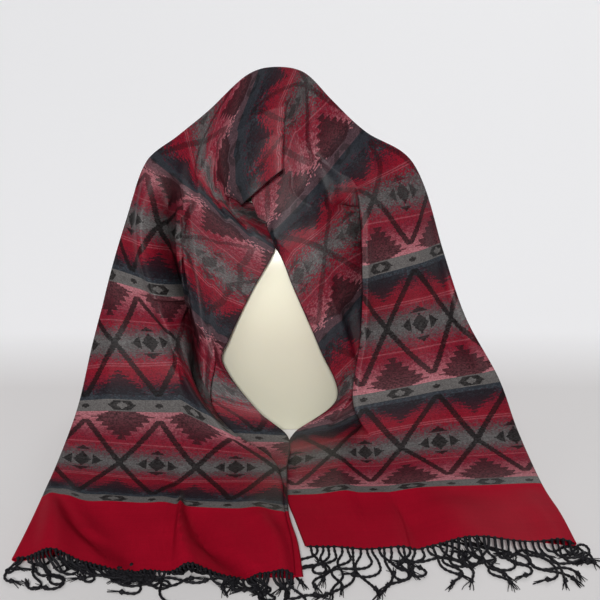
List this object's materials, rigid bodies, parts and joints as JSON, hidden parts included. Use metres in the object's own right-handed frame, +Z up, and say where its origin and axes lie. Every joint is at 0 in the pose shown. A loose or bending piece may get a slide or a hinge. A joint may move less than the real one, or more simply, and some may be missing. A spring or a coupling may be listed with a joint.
{
  "type": "pashmina shawl on a limbless dress form",
  "caption": "Long woven shawl laid over the neck of a limbless dress form, both ends drawn forward on the table, with plain borders and a twisted fringe.",
  "frame": {"origin": "middle of the footprint, on the table", "axes": "+Z up, -Y towards the open front where the fringed ends lie, +X to the right as seen from the front"},
  "size_m": [0.706, 0.7968, 0.5106],
  "materials": {
    "form_shell": "smooth cream shell",
    "woven_cloth": "fine jacquard twill with a soft sheen",
    "border_cloth": "plain crimson twill",
    "fringe_yarn": "twisted black yarn"
  },
  "bodies": {
    "root": {"dress_form": "form_shell", "left_border": "border_cloth", "left_fall": "woven_cloth", "neck_and_shoulders": "woven_cloth", "back_panel": "woven_cloth", "right_fall": "woven_cloth", "right_border": "border_cloth", "left_fringe": "fringe_yarn", "left_under_fringe": "fringe_yarn", "right_fringe": "fringe_yarn", "right_under_fringe": "fringe_yarn"}
  },
  "joints": []
}
